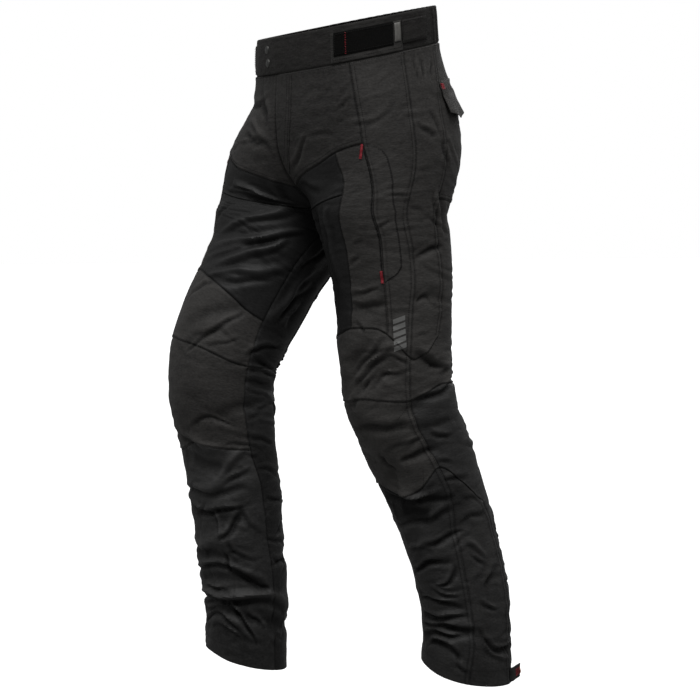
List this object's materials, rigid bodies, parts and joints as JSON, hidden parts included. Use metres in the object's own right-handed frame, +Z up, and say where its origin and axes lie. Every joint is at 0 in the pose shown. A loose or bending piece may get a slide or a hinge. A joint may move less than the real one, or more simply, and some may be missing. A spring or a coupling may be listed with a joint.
{
  "type": "motorcycle trousers",
  "caption": "Dark grey textile motorcycle trousers with pre-curved knees, stretch inner thighs, zip thigh pockets, a snap waistband with side adjusters and a gathered elastic back",
  "frame": {"origin": "centre of the waist opening at half the height of the waistband", "axes": "+Z up the wearer, the front faces -Y, the wearer's left is +X, millimetres in the source"},
  "size_m": [0.3774, 0.4995, 1.0914],
  "materials": {
    "shell": "matte woven nylon, faint grain",
    "side_cloth": "matte woven nylon",
    "stretch_mesh": "dark stretch knit, slight sheen",
    "shin_cloth": "dark woven nylon",
    "band_cloth": "matte woven nylon, gathered at the back",
    "loop_tape": "brushed loop pile",
    "strap_tip": "pale soft moulded tip, bare",
    "zip_tape": "coil zip",
    "snap_metal": "dull grey cap"
  },
  "bodies": {
    "root": {"frontYokeLeft": "shell", "frontYokeRight": "shell", "frontStripLeft": "shell", "frontStripRight": "shell", "seatLeft": "shell", "seatRight": "shell", "thighBackLeft": "shell", "thighBackRight": "shell", "kneePanelLeft": "shell", "kneePanelRight": "shell", "kneeCupLeft": "shell", "kneeCupRight": "shell", "sideFrontLeft": "side_cloth", "sideFrontRight": "side_cloth", "sideBackLeft": "side_cloth", "sideBackRight": "side_cloth", "calfSideLeft": "side_cloth", "calfSideRight": "side_cloth", "pocketPatchLeft": "side_cloth", "pocketPatchRight": "side_cloth", "backPocketFlapLeft": "side_cloth", "backPocketFlapRight": "side_cloth", "adjusterPatchLeft": "side_cloth", "adjusterPatchRight": "side_cloth", "thighMeshUpperLeft": "stretch_mesh", "thighMeshUpperRight": "stretch_mesh", "thighMeshLowerLeft": "stretch_mesh", "thighMeshLowerRight": "stretch_mesh", "thighMeshBackLeft": "stretch_mesh", "thighMeshBackRight": "stretch_mesh", "shinLeft": "shin_cloth", "shinRight": "shin_cloth", "calfBackLeft": "shin_cloth", "calfBackRight": "shin_cloth", "hemTabLeft": "shin_cloth", "hemTabRight": "shin_cloth", "waistbandFrontLeft": "band_cloth", "waistbandFrontRight": "band_cloth", "waistbandBackLeft": "band_cloth", "waistbandBackRight": "band_cloth", "adjusterStrapLeft": "band_cloth", "adjusterStrapRight": "band_cloth", "adjusterLoopLeft": "loop_tape", "adjusterLoopRight": "loop_tape", "adjusterTipLeft": "strap_tip", "adjusterTipRight": "strap_tip", "pocketZipLeft": "zip_tape", "pocketZipRight": "zip_tape", "flyFacing": "shell", "snapUpper": "snap_metal", "snapLower": "snap_metal"}
  },
  "joints": []
}
